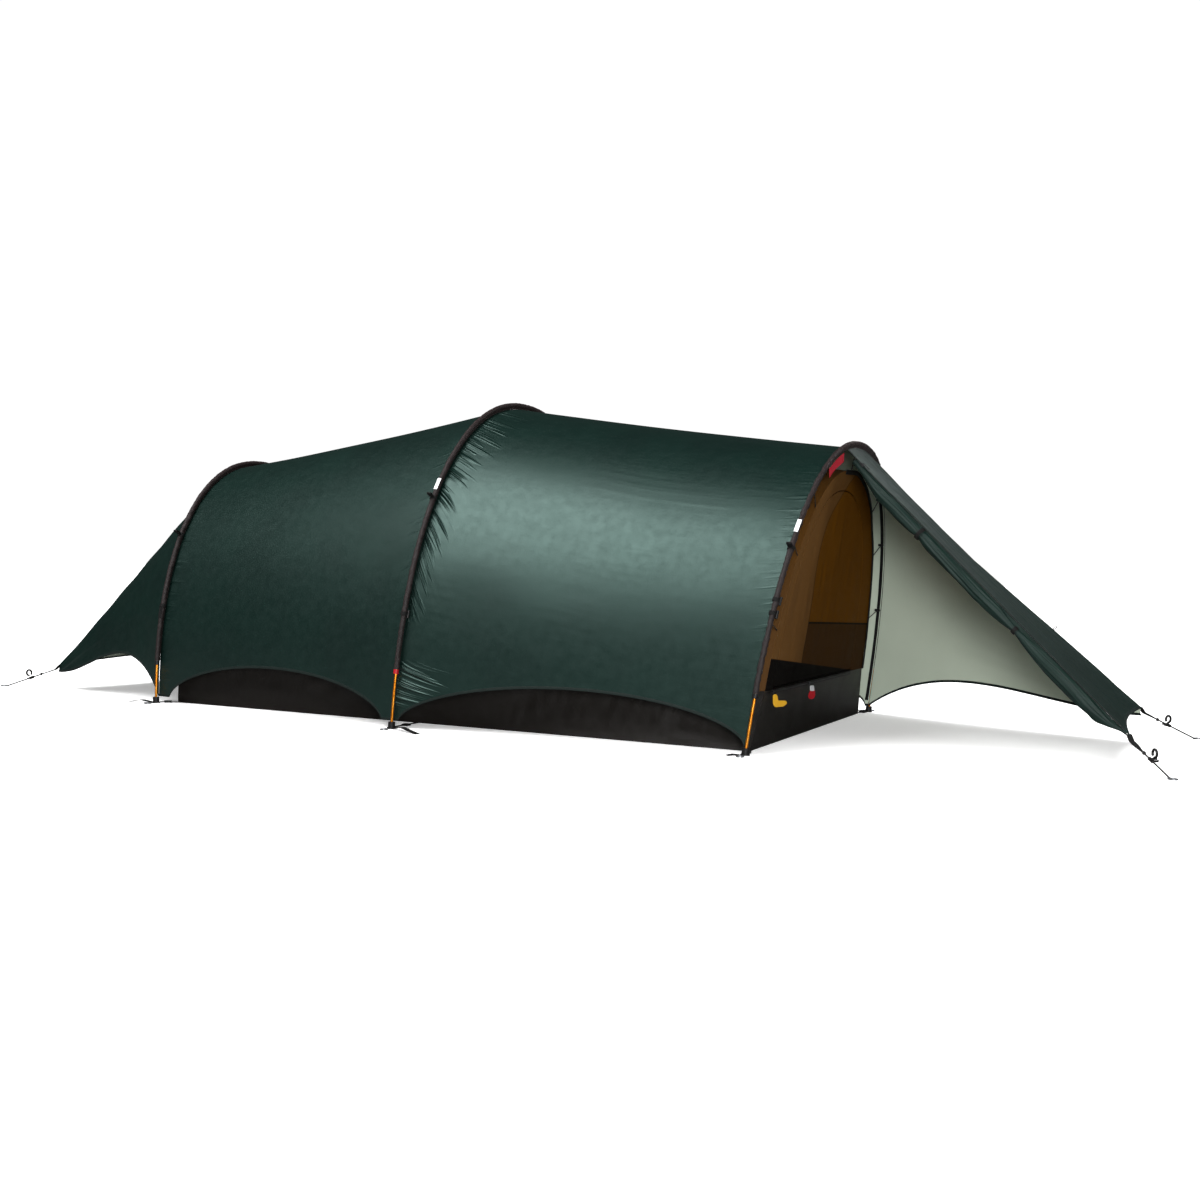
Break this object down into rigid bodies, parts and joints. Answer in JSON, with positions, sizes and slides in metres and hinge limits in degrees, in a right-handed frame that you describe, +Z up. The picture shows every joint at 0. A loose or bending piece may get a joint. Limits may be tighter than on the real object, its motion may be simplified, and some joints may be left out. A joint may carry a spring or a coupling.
{
  "type": "tunnel tent",
  "caption": "Tunnel tent with arched poles in fabric sleeves, a rolled-up side door to its front porch, a hung inner tent and short guylines with peg rings.",
  "frame": {"origin": "middle of the groundsheet, on the ground", "axes": "+X out of the front entrance, +Y to the far side away from the rolled-up door, +Z up"},
  "size_m": [4.262, 1.6138, 1.08],
  "materials": {
    "pole_alloy": "gold anodised, satin",
    "ferrule_alloy": "plain, satin",
    "shock_cord": "woven cover",
    "sleeve_cloth": "tight plain weave, dull",
    "red_collar": "smooth",
    "black_plastic": "moulded, fine grain",
    "reflective_tape": "pale reflective weave",
    "black_webbing": "ribbed webbing",
    "red_cloth": "plain weave, unprinted",
    "flysheet_cloth": "coated ripstop, low sheen",
    "zip_chain": "coil zip",
    "slider_metal": "lacquered, satin",
    "black_pull": "moulded",
    "yellow_pull": "moulded",
    "red_pull": "moulded",
    "inner_cloth": "fine translucent weave",
    "floor_cloth": "heavy coated weave, low gloss",
    "elastic_cord": "braided",
    "ring_alloy": "plain, satin",
    "guy_cord": "braided"
  },
  "bodies": {
    "tent": {"rear_pole": "pole_alloy", "mid_pole": "pole_alloy", "front_pole": "pole_alloy", "pole_ferrules": "ferrule_alloy", "pole_shock_cords": "shock_cord", "rear_sleeve": "sleeve_cloth", "mid_sleeve": "sleeve_cloth", "front_sleeve": "sleeve_cloth", "sleeve_collars_red": "red_collar", "sleeve_collars_black": "black_plastic", "tie_toggles": "black_plastic", "inner_toggles": "black_plastic", "pole_foot_cups": "black_plastic", "ladder_lock_buckles": "black_plastic", "reflective_tabs": "reflective_tape", "guy_tabs": "black_webbing", "ridge_tab": "black_webbing", "foot_straps": "black_webbing", "strap_tails": "black_webbing", "corner_webbing": "black_webbing", "door_roll_ties": "black_webbing", "red_tab": "red_cloth", "outer_rear_bay": "flysheet_cloth", "outer_front_bay": "flysheet_cloth", "vestibule_ridge_panel": "flysheet_cloth", "vestibule_far_panel": "flysheet_cloth", "vestibule_near_door": "flysheet_cloth", "rear_centre_panel": "flysheet_cloth", "rear_near_panel": "flysheet_cloth", "rear_far_panel": "flysheet_cloth", "vestibule_zip": "zip_chain", "inner_door_zip": "zip_chain", "inner_rear_canopy": "inner_cloth", "inner_front_canopy": "inner_cloth", "inner_front_wall": "inner_cloth", "inner_rear_wall": "inner_cloth", "bathtub_floor": "floor_cloth", "inner_elastics": "elastic_cord", "foot_peg_rings": "ring_alloy", "front_near_peg_ring": "ring_alloy", "front_far_peg_ring": "ring_alloy", "rear_near_peg_ring": "ring_alloy", "rear_far_peg_ring": "ring_alloy", "front_near_guyline": "guy_cord", "front_far_guyline": "guy_cord", "rear_near_guyline": "guy_cord", "rear_far_guyline": "guy_cord"},
    "inner_door": {"inner_door": "inner_cloth"},
    "yellow_slider": {"yellow_zip_slider": "slider_metal"},
    "yellow_pull": {"yellow_zip_pull": "yellow_pull"},
    "red_slider": {"red_zip_slider": "slider_metal"},
    "red_pull": {"red_zip_pull": "red_pull"},
    "vestibule_slider": {"vestibule_zip_slider": "slider_metal"},
    "vestibule_pull": {"vestibule_zip_pull": "black_pull"},
    "front_near_tensioner": {"front_near_runner": "black_plastic"},
    "front_far_tensioner": {"front_far_runner": "black_plastic"},
    "rear_near_tensioner": {"rear_near_runner": "black_plastic"},
    "rear_far_tensioner": {"rear_far_runner": "black_plastic"}
  },
  "joints": [
    {"name": "inner_door_swing", "type": "hinge", "parent": "tent", "child": "inner_door", "pos_m": [1.11157, 0.383, 0.17786], "axis": [-0.1368, 0, -0.9906], "range_deg": [0, 60]},
    {"name": "yellow_slider_run", "type": "slide", "parent": "tent", "child": "yellow_slider", "axis": [0, 1, 0], "range_m": [0, 0.3]},
    {"name": "yellow_pull_flip", "type": "hinge", "parent": "yellow_slider", "child": "yellow_pull", "pos_m": [1.12146, -0.48, 0.16325], "axis": [0, -1, 0], "range_deg": [0, 150]},
    {"name": "red_slider_run", "type": "slide", "parent": "tent", "child": "red_slider", "axis": [0, 1, 0], "range_m": [-0.02, 0.44]},
    {"name": "red_pull_flip", "type": "hinge", "parent": "red_slider", "child": "red_pull", "pos_m": [1.12146, -0.12, 0.16325], "axis": [0, -1, 0], "range_deg": [0, 150]},
    {"name": "vestibule_slider_run", "type": "slide", "parent": "tent", "child": "vestibule_slider", "axis": [0.7219, -0.1347, -0.6787], "range_m": [-0.03, 1.069]},
    {"name": "vestibule_pull_flip", "type": "hinge", "parent": "vestibule_slider", "child": "vestibule_pull", "pos_m": [1.28222, -0.15505, 0.85071], "axis": [-0.0981, -0.9909, 0.0922], "range_deg": [0, 150]},
    {"name": "front_near_tensioner_slide", "type": "slide", "parent": "tent", "child": "front_near_tensioner", "axis": [0.5258, -0.7801, -0.3391], "range_m": [-0.025, 0.055]},
    {"name": "front_far_tensioner_slide", "type": "slide", "parent": "tent", "child": "front_far_tensioner", "axis": [0.5533, 0.7506, -0.3611], "range_m": [-0.035, 0.09]},
    {"name": "rear_near_tensioner_slide", "type": "slide", "parent": "tent", "child": "rear_near_tensioner", "axis": [-0.9342, -0.1635, -0.3172], "range_m": [-0.03, 0.07]},
    {"name": "rear_far_tensioner_slide", "type": "slide", "parent": "tent", "child": "rear_far_tensioner", "axis": [-0.9342, 0.1635, -0.3172], "range_m": [-0.03, 0.07]}
  ]
}
